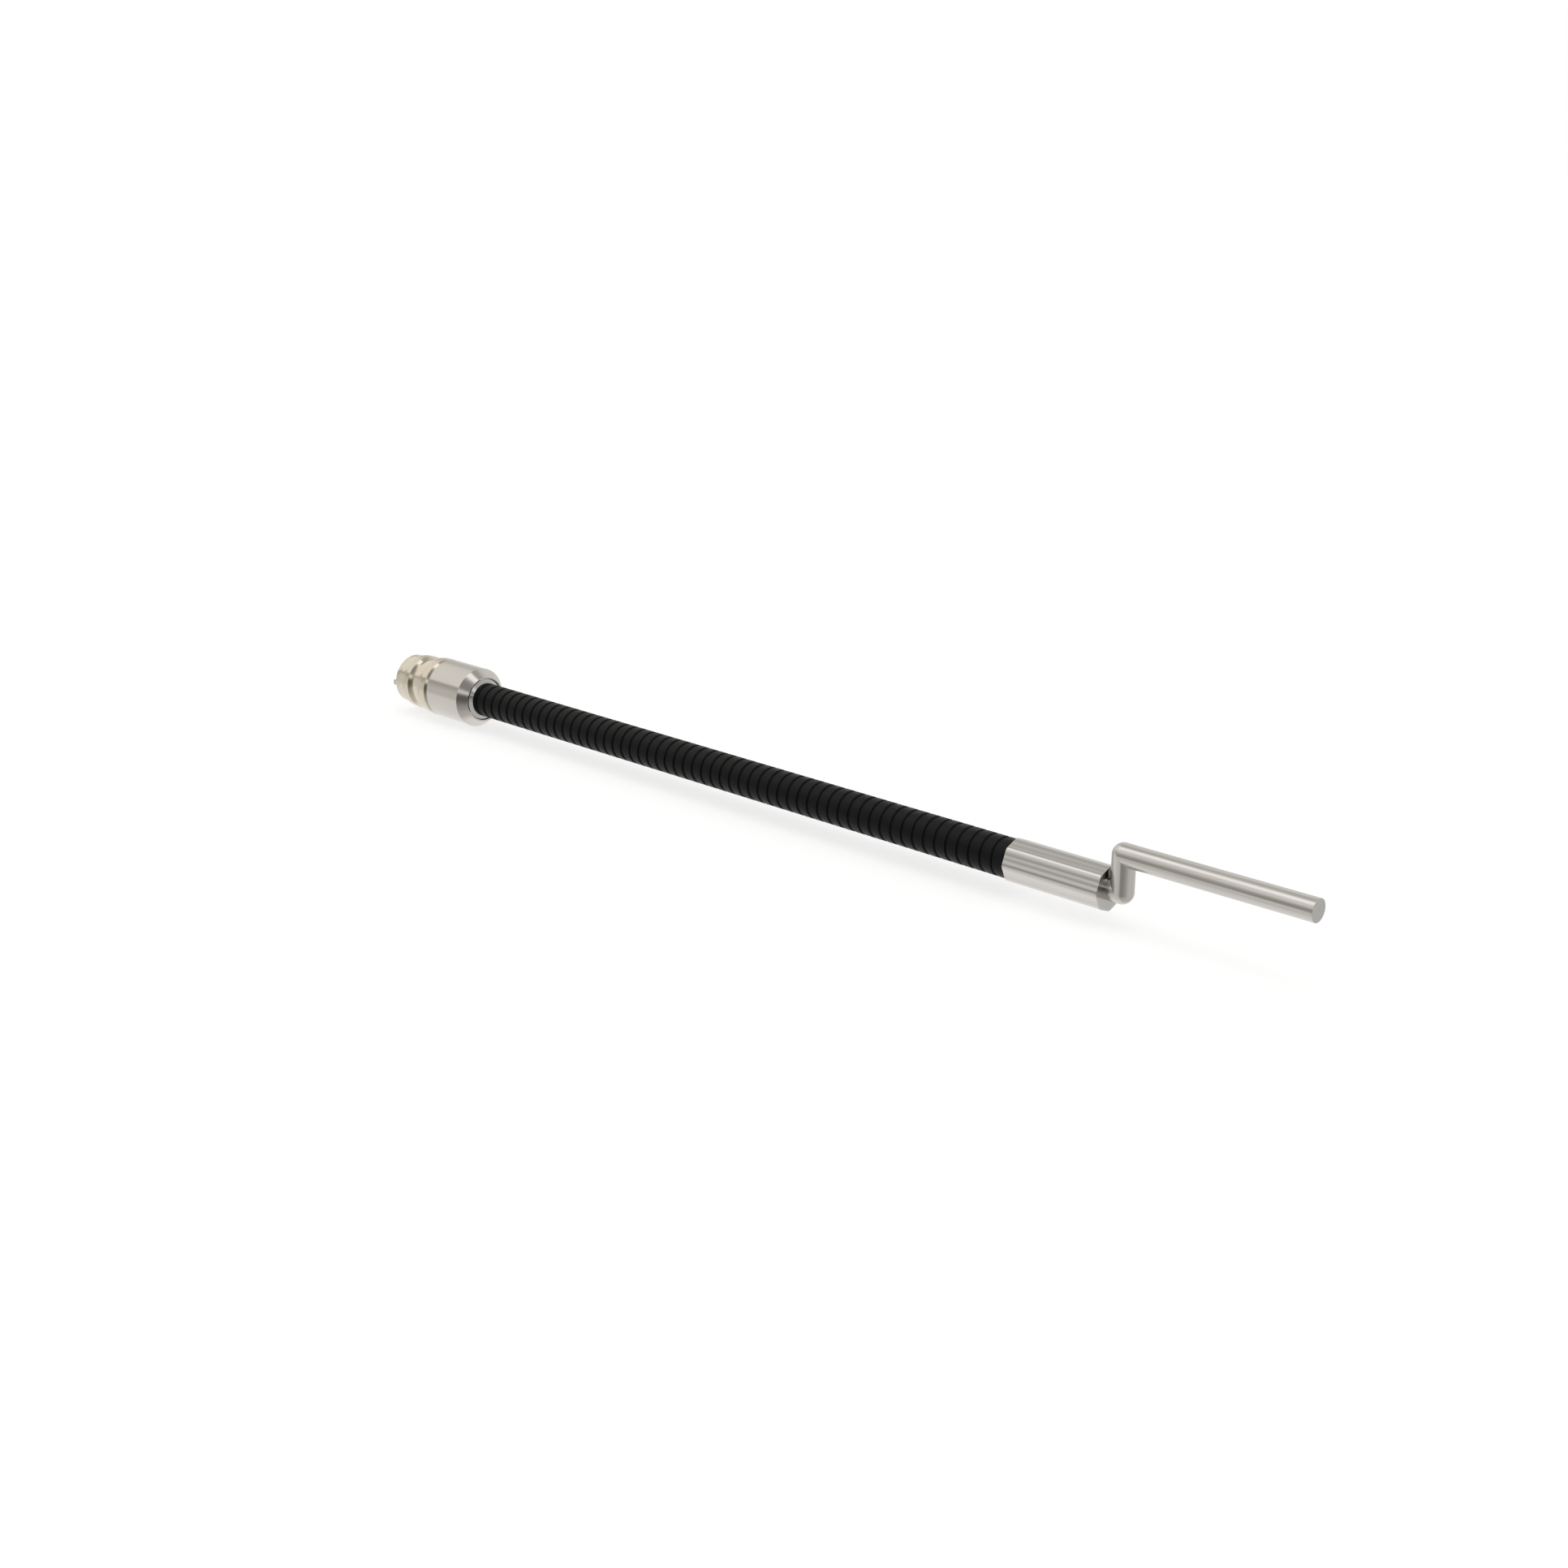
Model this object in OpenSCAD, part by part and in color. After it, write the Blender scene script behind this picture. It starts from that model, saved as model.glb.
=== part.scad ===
// Cable release with a cranked pull rod.
// A stepped swivel coupling, a straight ribbed cable, an octagonal crimp sleeve and a round
// rod bent to a crank. The cable's axis is X, from the coupling's nose at x = 0 to the free
// end of the rod. Z is up, and the crank points up. Sizes are in millimetres.

/* [Coupling outside] */
// Diameter of the nose ring at its face
nose_d = 9.4; // [9:0.1:9.9]
// Diameter of the nose ring's band, which centres it in the camera's socket
nose_band_d = 10.28; // [9.9:0.02:10.6]
// Length of the nose ring
nose_len = 4.91; // [4.6:0.01:7]
// Length of the nose ring's straight front
nose_front_len = 1.0; // [0.8:0.1:1.3]
// Length over which the nose ring widens to its band
nose_flare_len = 2.0; // [1.2:0.1:2.2]
// Diameter of the lock ring at its front
lock_front_d = 9.44; // [9.2:0.02:10]
// Diameter of the lock ring's band
lock_d = 11.18; // [10.6:0.02:12]
// Length of the lock ring
lock_len = 5.56; // [4.9:0.01:7]
// Length over which the lock ring widens to its band
lock_flare_len = 3.3; // [2:0.1:3.8]
// Length of the chamfer at the rear of the two rings
ring_chamfer_len = 0.53; // [0.3:0.01:0.6]
// Depth of that chamfer
ring_chamfer_h = 0.44; // [0.2:0.02:0.46]
// Gap behind the nose ring and behind the lock ring
ring_gap = 0.04; // [0.03:0.01:0.3]
// Diameter of the coupling shell
shell_d = 11.2; // [10.4:0.1:14]
// Length of the shell's round part
shell_len = 9.4; // [9:0.05:14]
// Length of the cone at the shell's rear
cone_len = 1.8; // [1.2:0.1:3]
// Bevel on the shell's front edge
shell_bevel = 0.38; // [0.1:0.02:0.5]
// Bevel on the edge of the nose ring's face
edge_bevel = 0.2; // [0.1:0.05:0.4]
// How far the two locating lugs stand out of the nose ring's face
lug_proud = 0.75; // [0.5:0.05:1.5]
// Width of a locating lug
lug_w = 1.0; // [0.6:0.1:1.6]

/* [Coupling inside] */
// Wall of the nose ring round the hub
ring_wall = 0.5; // [0.4:0.05:0.7]
// How far the hub and the nose bush lie behind the nose ring's face
face_recess = 0.5; // [0.2:0.1:1]
// Length of the hub inside the shell
hub_grip = 2.4; // [1.5:0.1:3]
// Wall of the hub
hub_wall = 1.2; // [0.8:0.1:1.5]
// How far a locating lug reaches back into the nose ring's wall
lug_seat = 1.0; // [0.4:0.1:1]
// Diameter of the plunger pin
pin_d = 2.5; // [2:0.1:3]
// Diameter of the plunger pin's head
pin_head_d = 4.4; // [3.8:0.1:5]
// Length of the plunger pin's head
pin_head_len = 1.2; // [0.8:0.1:1.8]
// Length of the plunger pin's tail, where the core is swaged in
pin_tail_len = 1.1; // [0.8:0.1:1.4]
// Wall of the plunger pin's tail
pin_tail_wall = 0.6; // [0.3:0.1:0.9]
// How far the plunger pin's tip lies behind the nose ring's face
pin_recess = 0.4; // [0:0.1:2]
// Room left behind the plunger pin's tail with the rod pulled right out
pin_end_room = 0.5; // [0.2:0.1:1]
// Depth of the rear mouth, in which the ferrule's collar turns
mouth_depth = 1.55; // [1.3:0.05:1.8]
// Length of the swivel bush
swivel_len = 2.6; // [2:0.1:3]
// Wall of the swivel bush
swivel_wall = 0.65; // [0.4:0.05:0.8]
// Thickness of the washer in front of the swivel bush
washer_t = 0.6; // [0.4:0.05:0.8]
// How far that washer reaches out past the journal
washer_flange = 1.0; // [0.8:0.05:1.1]
// Thickness of the washer under the ferrule's collar
collar_washer_t = 0.3; // [0.2:0.05:0.4]
// Thickness of the retaining clips
clip_t = 0.6; // [0.4:0.05:0.8]
// Depth of the groove for the ferrule's clip
clip_groove = 0.35; // [0.2:0.05:0.45]
// How far a retaining clip stands out of the piece that it holds
clip_stand = 0.6; // [0.4:0.05:0.7]
// Length of the journal in front of its clip
journal_nose = 1.5; // [1.2:0.1:2]
// How far the ferrule's collar stands out past the sheath's ribs
collar_flange = 0.78; // [0.4:0.02:0.9]
// Length of the cone at the collar's rear
collar_cone_len = 0.35; // [0.3:0.05:1]
// How far the small end of that cone stands out past the sheath's ribs
collar_rim = 0.03; // [0.02:0.01:0.3]
// Width of the flat lip round the shell's rear mouth
mouth_lip = 0.2; // [0.1:0.05:0.4]
// How far the collar stands out of the shell's mouth
collar_proud = 0.15; // [0:0.05:0.5]
// Thickness of the inner step that stops the liner in each ferrule
liner_stop = 1.0; // [0.6:0.1:1.2]

/* [Cable] */
// Length of cable that shows between the coupling and the sleeve
cable_len = 126.7; // [60:0.1:400]
// Number of whole ribs on the sheath
rib_count = 56; // [10:1:150]
// Share of one more rib that shows at the coupling
part_rib_share = 0.455; // [0.35:0.005:1]
// Height of a rib
rib_h = 0.24; // [0.1:0.02:0.5]
// Share of the pitch that the groove between two ribs takes
rib_groove_share = 0.24; // [0.15:0.01:0.5]
// Wall of the sheath under the ribs
sheath_wall = 0.48; // [0.3:0.02:1]
// Wall of the two ferrules' spigots in the sheath
spigot_wall = 0.45; // [0.3:0.05:0.8]
// Length of a spigot in the sheath
spigot_len = 6; // [4:0.5:12]
// Wall of the wound steel liner
liner_wall = 1.0; // [0.6:0.05:1.2]
// Wall of the smooth lining inside the wound liner
lining_wall = 0.25; // [0.15:0.05:0.4]
// Radial room between the core and its lining
core_slack = 0.15; // [0.1:0.01:0.3]
// Diameter of the core cable
core_d = 1.2; // [0.8:0.1:1.4]

/* [Sleeve and crank] */
// Length of the octagonal sleeve
sleeve_len = 17.4; // [17:0.1:26]
// Length of the rear ferrule inside the sleeve
rear_ferrule_len = 2.5; // [2:0.1:3]
// Wall of the sleeve at its flats
sleeve_wall = 0.62; // [0.3:0.02:1]
// How much the rounding takes off the corners of the sleeve
corner_round = 0.1; // [0.05:0.01:0.2]
// Diameter of the cranked rod
rod_d = 3.56; // [3.2:0.02:5]
// Height of the handle's axis above the cable's axis
crank_h = 5.85; // [5:0.05:20]
// Length from the crank's upright leg to the handle's end
handle_len = 31.9; // [12:0.1:80]
// Gap between the upright leg and the sleeve, with the rod home
leg_gap = 0.3; // [0.3:0.1:1]
// Bevel on the handle's end
rod_bevel = 0.1; // [0.05:0.05:0.5]
// How much thicker the rod's radius is in its two bends
bend_swell = 0.03; // [0.02:0.01:0.1]
// Length along the handle over which the swelling runs out
swell_len = 2.2; // [2:0.1:5]
// Wall of the rod's thin end round the core
shank_wall = 0.7; // [0.6:0.05:0.8]
// Length of the rod's thin end in front of its clip
shank_nose = 0.6; // [0.4:0.1:1]
// Depth of the groove for the seat's clip
seat_clip_groove = 0.18; // [0.1:0.02:0.3]
// Radial room between the rod and the inside of the return spring
spring_inner_room = 0.22; // [0.15:0.01:0.4]
// Radial room between the return spring and the sleeve's bore
spring_outer_room = 0.25; // [0.15:0.01:0.4]
// How far the rod pulls out
pull_travel = 5.0; // [2:0.1:5.2]
// Length of the bush in the sleeve's end
end_bush_len = 4.0; // [2.5:0.1:4.2]
// Diameter of the return spring's wire
spring_wire_d = 0.5; // [0.3:0.05:0.55]
// Number of turns of the return spring
spring_turns = 5; // [3:1:5]
// Thickness of the spring seat
seat_t = 0.8; // [0.6:0.1:1]
// Radial room between the spring seat and the sleeve's bore
seat_room = 0.15; // [0.1:0.01:0.3]
// Depth to which the core is swaged into the rod
core_socket = 4.0; // [3:0.5:6]

/* [Fits] */
// Radial clearance of the running fits
run_fit = 0.05; // [0.02:0.01:0.1]
// Clearance between moving pieces that don't guide each other
free_gap = 0.3; // [0.2:0.05:0.5]

/* [Hidden] */
$fn = 64;

// Radii of the cable's layers, from the core outwards
core_r = core_d / 2;
lining_in_r = core_r + core_slack;
lining_r = lining_in_r + lining_wall;
liner_r = lining_r + liner_wall;
spigot_r = liner_r + spigot_wall;
rib_root_r = spigot_r + sheath_wall;
rib_r = rib_root_r + rib_h;

// Radii of the coupling
nose_r = nose_d / 2;
nose_band_r = nose_band_d / 2;
lock_front_r = lock_front_d / 2;
lock_r = lock_d / 2;
shell_r = shell_d / 2;
hub_r = nose_r - ring_wall;
pin_r = pin_d / 2;
journal_r = spigot_r + clip_groove + 2 * run_fit;
collar_r = rib_r + collar_flange;
collar_end_r = rib_r + collar_rim;
mouth_r = collar_r + 2 * run_fit;
cone_end_r = mouth_r + mouth_lip;
hub_bore_r = hub_r - hub_wall;
washer_r = journal_r + washer_flange;

// Stations of the coupling along the axis, from the nose
lock_x = nose_len + ring_gap;
lock_end_x = lock_x + lock_len;
shell_x = lock_end_x + ring_gap;
cone_x = shell_x + shell_len;
mouth_x = cone_x + cone_len;
shoulder_x = mouth_x - mouth_depth;
swivel_x = shoulder_x - swivel_len;
collar_x = shoulder_x + collar_washer_t + 2 * run_fit;
washer_x = swivel_x - 2 * run_fit - washer_t;
clip_x = washer_x - clip_t;
ferrule_x = clip_x - journal_nose;
cable_x = mouth_x + collar_proud;

// The plunger pin stops short of the ferrule when the rod is pulled right out
pin_head_x = ferrule_x - pin_end_room - pull_travel - pin_tail_len - pin_head_len;
nose_bush_end_x = pin_head_x - free_gap;

// Stations of the sleeve and the crank
sleeve_x = cable_x + cable_len;
sleeve_end_x = sleeve_x + sleeve_len;
rear_ferrule_end_x = sleeve_x + rear_ferrule_len;
rod_r = rod_d / 2;
leg_x = sleeve_end_x + leg_gap + rod_r + bend_swell;
rod_start_x = rear_ferrule_end_x + leg_gap;
seat_clip_x = rod_start_x + shank_nose;
seat_x = seat_clip_x + clip_t;
rod_shoulder_x = seat_x + seat_t + 2 * run_fit;
end_bush_x = sleeve_end_x - end_bush_len;
handle_end_x = leg_x + handle_len;

// Radii of the sleeve and the crank
shank_r = core_r + shank_wall;
bend_r = rod_r + bend_swell;
spring_r = rod_r + spring_inner_room + spring_wire_d / 2;
sleeve_bore_r = spring_r + spring_wire_d / 2 + spring_outer_room;
sleeve_flat_r = sleeve_bore_r + sleeve_wall;
sleeve_sides = 8;
sleeve_corner_r = sleeve_flat_r / cos(180 / sleeve_sides);
seat_r = sleeve_bore_r - seat_room;

// The section's points are [x, radius], and it turns about the X axis
module turned(section) {
    rotate([0, 90, 0])
        rotate_extrude()
            polygon([for (p = section) [p[1], p[0]]]);
}

// A plain tube from one station to another
module tube(x0, x1, inner_r, outer_r) {
    turned([[x0, inner_r], [x1, inner_r], [x1, outer_r], [x0, outer_r]]);
}

// The rear of a ring round the hub, from its band's chamfer down to its bore
function ring_rear(x1, band_r) =
    [[x1 - ring_chamfer_len, band_r], [x1, band_r - ring_chamfer_h], [x1, hub_r]];

// A solid rod along X
module bar(x0, x1, r) {
    translate([x0, 0, 0])
        rotate([0, 90, 0])
            cylinder(h = x1 - x0, r = r);
}

// An open ring that snaps into a groove, with its gap pointing down
module clip(x0, groove_r, outer_r) {
    gap_w = 1.2 * groove_r;
    difference() {
        tube(x0, x0 + clip_t, groove_r, outer_r);
        translate([x0 - 1, -gap_w / 2, -outer_r - 1])
            cube([clip_t + 2, gap_w, outer_r + 1]);
    }
}

module nose_ring() {
    color("wheat")
        difference() {
            turned(concat([[0, hub_r], [0, nose_r - edge_bevel], [edge_bevel, nose_r],
                           [nose_front_len, nose_r],
                           [nose_front_len + nose_flare_len, nose_band_r]],
                          ring_rear(nose_len, nose_band_r)));
            for (side = [-1, 1])
                lug_block(side, 1);
        }
}

// A lug, or the slot for it, as a block across the nose ring's wall at +Y or -Y.
// It reaches from lug_seat behind the ring's face to in front of it.
module lug_block(side, front) {
    y0 = side > 0 ? hub_r : -nose_r;
    translate([-front, y0, -lug_w / 2])
        cube([front + lug_seat, ring_wall, lug_w]);
}

module locating_lugs() {
    color("silver")
        intersection() {
            for (side = [-1, 1])
                lug_block(side, lug_proud);
            bar(-lug_proud, lug_seat, nose_r);
        }
}

module lock_ring() {
    color("wheat")
        turned(concat([[lock_x, hub_r], [lock_x, lock_front_r],
                       [lock_x + lock_flare_len, lock_r]],
                      ring_rear(lock_end_x, lock_r)));
}

module nose_hub() {
    color("dimgray")
        tube(face_recess, shell_x + hub_grip, hub_bore_r, hub_r);
}

module nose_bush() {
    color("goldenrod")
        tube(face_recess, nose_bush_end_x, pin_r + run_fit, hub_bore_r);
}

module coupling_shell() {
    swivel_r = journal_r + run_fit + swivel_wall;
    color("lightgray")
        turned([[shell_x, hub_r], [swivel_x, hub_r], [swivel_x, swivel_r], [shoulder_x, swivel_r],
                [shoulder_x, mouth_r], [mouth_x, mouth_r], [mouth_x, cone_end_r], [cone_x, shell_r],
                [shell_x + shell_bevel, shell_r], [shell_x, shell_r - shell_bevel]]);
}

module swivel_bush() {
    color("goldenrod")
        tube(swivel_x, shoulder_x, journal_r + run_fit, journal_r + run_fit + swivel_wall);
}

// The ferrule's journal carries the coupling, and its spigot holds the sheath and the liner
module end_ferrule() {
    groove_r = journal_r - clip_groove;
    color("silver")
        turned([[ferrule_x, lining_r], [ferrule_x + liner_stop, lining_r],
                [ferrule_x + liner_stop, liner_r],
                [cable_x + spigot_len, liner_r], [cable_x + spigot_len, spigot_r],
                [cable_x, spigot_r], [cable_x, collar_end_r],
                [cable_x - collar_cone_len, collar_r], [collar_x, collar_r],
                [collar_x, journal_r], [clip_x + clip_t, journal_r], [clip_x + clip_t, groove_r],
                [clip_x, groove_r], [clip_x, journal_r], [ferrule_x, journal_r]]);
}

module collar_washer() {
    color("ivory")
        tube(collar_x - collar_washer_t, collar_x, journal_r, collar_r);
}

module thrust_washer() {
    color("ivory")
        tube(washer_x, washer_x + washer_t, journal_r, washer_r);
}

module retaining_clip() {
    color("slategray")
        clip(clip_x, journal_r - clip_groove, journal_r + clip_stand);
}

// The ribs are flat rings with narrow grooves between them. A part rib starts at the coupling's
// mouth, and half a groove ends at the sleeve.
module ribbed_sheath() {
    pitch = cable_len / (rib_count + part_rib_share);
    half_groove = pitch * rib_groove_share / 2;
    slope = half_groove / 2;
    ribs_x = cable_x + pitch * part_rib_share;
    part_rib = [[cable_x, rib_r], [ribs_x - half_groove - slope / 2, rib_r],
                [ribs_x - half_groove + slope / 2, rib_root_r]];
    whole_ribs = [for (i = [0 : rib_count - 1])
                      each [[ribs_x + i * pitch + half_groove - slope / 2, rib_root_r],
                            [ribs_x + i * pitch + half_groove + slope / 2, rib_r],
                            [ribs_x + (i + 1) * pitch - half_groove - slope / 2, rib_r],
                            [ribs_x + (i + 1) * pitch - half_groove + slope / 2, rib_root_r]]];
    color("#1b1b1d")
        turned(concat([[sleeve_x, spigot_r], [cable_x, spigot_r]],
                      part_rib, whole_ribs, [[sleeve_x, rib_root_r]]));
}

module wound_liner() {
    color("gray")
        tube(ferrule_x + liner_stop, rear_ferrule_end_x - liner_stop, lining_r, liner_r);
}

module inner_lining() {
    color("white")
        tube(ferrule_x, rear_ferrule_end_x, lining_in_r, lining_r);
}

module core_cable() {
    color("darkgray")
        bar(pin_head_x, rod_start_x + core_socket, core_r);
}

// The pin slides in the nose bush, and the core is swaged into its head and tail
module plunger_pin() {
    head_r = pin_head_d / 2;
    tail_x = pin_head_x + pin_head_len;
    tail_r = core_r + pin_tail_wall;
    point = 0.3;
    color("silver")
        turned([[pin_recess, 0], [pin_head_x, 0], [pin_head_x, core_r],
                [tail_x + pin_tail_len, core_r], [tail_x + pin_tail_len, tail_r],
                [tail_x, tail_r], [tail_x, head_r], [pin_head_x, head_r], [pin_head_x, pin_r],
                [pin_recess + point, pin_r], [pin_recess, pin_r - point]]);
}

module rear_ferrule() {
    color("silver")
        turned([[sleeve_x - spigot_len, liner_r], [rear_ferrule_end_x - liner_stop, liner_r],
                [rear_ferrule_end_x - liner_stop, lining_r], [rear_ferrule_end_x, lining_r],
                [rear_ferrule_end_x, sleeve_bore_r], [sleeve_x, sleeve_bore_r],
                [sleeve_x, spigot_r], [sleeve_x - spigot_len, spigot_r]]);
}

// The sleeve is an eight-sided bar with rounded corners and a round bore, a corner up
module crimp_sleeve() {
    color("silver")
        difference() {
            intersection() {
                translate([sleeve_x, 0, 0])
                    rotate([0, 90, 0])
                        cylinder(h = sleeve_len, r = sleeve_corner_r, $fn = sleeve_sides);
                bar(sleeve_x - 1, sleeve_end_x + 1, sleeve_corner_r - corner_round);
            }
            bar(sleeve_x - 1, sleeve_end_x + 1, sleeve_bore_r);
        }
}

module end_bush() {
    color("silver")
        tube(end_bush_x, sleeve_end_x, rod_r + run_fit, sleeve_bore_r);
}

// A coil of round wire between the seat and the end bush, as one swept tube
module return_spring() {
    rings = 8;
    sides = 6;
    wire_r = spring_wire_d / 2;
    end_slack = 0.02;
    start_x = seat_x + seat_t + wire_r + end_slack;
    length = end_bush_x - wire_r - end_slack - start_x;
    steps = spring_turns * rings;
    points = [for (i = [0 : steps], j = [0 : sides - 1])
                  let (turn = i * 360 / rings,
                       around = j * 360 / sides,
                       r = spring_r + wire_r * cos(around))
                  [start_x + length * i / steps + wire_r * sin(around), r * cos(turn), r * sin(turn)]];
    walls = [for (i = [0 : steps - 1], j = [0 : sides - 1])
                 let (a = i * sides + j,
                      b = i * sides + (j + 1) % sides)
                 each [[a, b, b + sides], [a, b + sides, a + sides]]];
    first_cap = [for (j = [1 : sides - 2]) [0, j + 1, j]];
    last_cap = [for (j = [1 : sides - 2]) [steps * sides, steps * sides + j, steps * sides + j + 1]];
    color("gray")
        polyhedron(points, concat(walls, first_cap, last_cap));
}

// The seat slides with the rod but doesn't turn with it
module spring_seat() {
    color("goldenrod")
        tube(seat_x, seat_x + seat_t, shank_r + run_fit, seat_r);
}

module seat_clip() {
    color("slategray")
        clip(seat_clip_x, shank_r - seat_clip_groove, shank_r + clip_stand);
}

// One bent rod: a stub on the cable's axis, an upright leg and a handle. The bends swell the
// rod a little, so a knob for the handle stops where the swelling starts.
module cranked_rod() {
    color("lightsteelblue")
        difference() {
            union() {
                bar(rod_start_x, rod_shoulder_x, shank_r);
                bar(rod_shoulder_x, leg_x, rod_r);
                for (z = [0, crank_h])
                    translate([leg_x, 0, z])
                        sphere(r = bend_r);
                translate([leg_x, 0, 0])
                    cylinder(h = crank_h, r = bend_r);
                translate([0, 0, crank_h])
                    turned([[leg_x, 0], [handle_end_x, 0], [handle_end_x, rod_r - rod_bevel],
                            [handle_end_x - rod_bevel, rod_r], [leg_x + swell_len, rod_r],
                            [leg_x, bend_r]]);
            }
            bar(rod_start_x - 1, rod_start_x + core_socket, core_r);
            tube(seat_clip_x, seat_clip_x + clip_t, shank_r - seat_clip_groove, shank_r + 1);
        }
}

nose_ring();
lock_ring();
nose_hub();
locating_lugs();
coupling_shell();
nose_bush();
swivel_bush();
end_ferrule();
collar_washer();
thrust_washer();
retaining_clip();
ribbed_sheath();
wound_liner();
inner_lining();
core_cable();
plunger_pin();
rear_ferrule();
crimp_sleeve();
end_bush();
return_spring();
spring_seat();
seat_clip();
cranked_rod();
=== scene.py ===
"""Looks of the cable release with a cranked pull rod.

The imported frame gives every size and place. Each metal piece that shows gets a finer turned or
swept mesh with rounded edges, the sheath's ribs get round shoulders, and the pieces inside keep
their CAD shapes. Lengths are metres.
"""

from math import acos, cos, pi, sin, sqrt

import bpy
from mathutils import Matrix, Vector

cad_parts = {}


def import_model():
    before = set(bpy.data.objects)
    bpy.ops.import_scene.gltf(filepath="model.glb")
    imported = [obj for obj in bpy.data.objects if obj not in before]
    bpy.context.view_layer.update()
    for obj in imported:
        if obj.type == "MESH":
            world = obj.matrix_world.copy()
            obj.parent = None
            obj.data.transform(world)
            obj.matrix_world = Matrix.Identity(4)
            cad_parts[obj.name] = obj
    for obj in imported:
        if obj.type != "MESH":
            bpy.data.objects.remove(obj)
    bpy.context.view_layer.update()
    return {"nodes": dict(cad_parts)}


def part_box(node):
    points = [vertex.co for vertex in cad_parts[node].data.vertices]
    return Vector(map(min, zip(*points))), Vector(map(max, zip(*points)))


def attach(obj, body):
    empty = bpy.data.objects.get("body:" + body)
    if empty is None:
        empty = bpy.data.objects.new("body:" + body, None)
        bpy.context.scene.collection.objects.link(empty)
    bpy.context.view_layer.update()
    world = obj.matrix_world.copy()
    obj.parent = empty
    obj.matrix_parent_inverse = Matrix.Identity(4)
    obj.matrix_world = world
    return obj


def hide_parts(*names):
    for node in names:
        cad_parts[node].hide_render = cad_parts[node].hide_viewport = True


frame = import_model()
MM = 0.001

# ---------------------------------------------------------------- sizes from the frame


def span(node):
    """First and last station of a node along the cable's axis."""
    low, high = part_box(node)
    return low.x, high.x


def radius(node):
    """Outer radius of a node that is round about the cable's axis."""
    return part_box(node)[1].y


NOSE_R = 4.70 * MM
NOSE_BAND_R = radius("nose_ring")
LOCK_FRONT_R = 4.72 * MM
LOCK_R = radius("lock_ring")
SHELL_R = radius("coupling_shell")
HUB_R = radius("nose_hub")
COLLAR_R = radius("end_ferrule")
SHEATH_R = radius("ribbed_sheath")
PIN_BUSH_R = radius("nose_bush")
SLEEVE_SIDES = 8
SLEEVE_WALL = 0.62 * MM
SLEEVE_BORE_R = radius("end_bush")
SLEEVE_CORNER_R = (SLEEVE_BORE_R + SLEEVE_WALL) / cos(pi / SLEEVE_SIDES)
LEG_GAP = 0.3 * MM
BEND_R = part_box("cranked_rod")[1].y
HANDLE_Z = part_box("cranked_rod")[1].z - BEND_R
HANDLE_END = span("cranked_rod")[1]
LEG_X = span("end_bush")[1] + LEG_GAP + BEND_R
ROD_R = 1.78 * MM

# The sheath has whole ribs and, at the coupling, the given share of one more.
RIBS = 56
PART_RIB = 0.455

# Rolling left the sleeve's flats slightly wavy: how far their normals swing in radians, and the
# (pitch, shift) of the waves on every other flat.
ROLLED_TILT = 0.075
ROLLED_WAVES = [(0.85 * MM, 0.04 * MM), (1.66 * MM, 0.0)]

# ---------------------------------------------------------------- mesh building


class Patchwork:
    """Faces with a normal at each corner, joined into one mesh where their corners meet."""

    def __init__(self):
        self.index = {}
        self.points = []
        self.edge = []
        self.faces = []
        self.normals = []
        self.slots = []

    def corner(self, point, edge=0.0):
        key = tuple(round(c * 1e7) for c in point)
        if key not in self.index:
            self.index[key] = len(self.points)
            self.points.append(tuple(point))
            self.edge.append(edge)
        at = self.index[key]
        self.edge[at] = max(self.edge[at], edge)
        return at

    def face(self, corners, slot=0):
        """corners is a list of (point, normal, edge share). A face that closes up is dropped."""
        kept = []
        for point, normal, edge in corners:
            at = self.corner(point, edge)
            if at not in [k[0] for k in kept]:
                kept.append((at, normal))
        if len(kept) > 2:
            self.faces.append([k[0] for k in kept])
            self.normals.extend(k[1] for k in kept)
            self.slots.append(slot)

    def strip(self, first, second, slot=0):
        """Faces between two closed rings of (point, normal, edge share) corners.

        Seen from outside, the rings run so that the second lies before the first.
        """
        count = len(first)
        for k in range(count):
            n = (k + 1) % count
            self.face([first[k], second[k], second[n], first[n]], slot)

    def cap(self, ring, normal, slot=0):
        self.face([(point, normal, edge) for point, _, edge in ring], slot)

    def mesh(self, name, materials):
        data = bpy.data.meshes.new(name)
        data.from_pydata(self.points, [], self.faces)
        for material in materials:
            data.materials.append(material)
        for polygon, slot in zip(data.polygons, self.slots):
            polygon.material_index = slot
            polygon.use_smooth = True
        data.normals_split_custom_set([tuple(Vector(n).normalized()) for n in self.normals])
        wear = data.attributes.new("edge", "FLOAT", "POINT")
        wear.data.foreach_set("value", self.edge)
        piece = bpy.data.objects.new(name, data)
        bpy.context.scene.collection.objects.link(piece)
        return piece


# A fillet this broad shows no wear, a bend under STRAIGHT radians needs no fillet, and a fillet
# takes up at most ROOM of the stretches beside it.
BROAD = 0.5 * MM
STRAIGHT = 0.02
ROOM = 0.48


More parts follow.
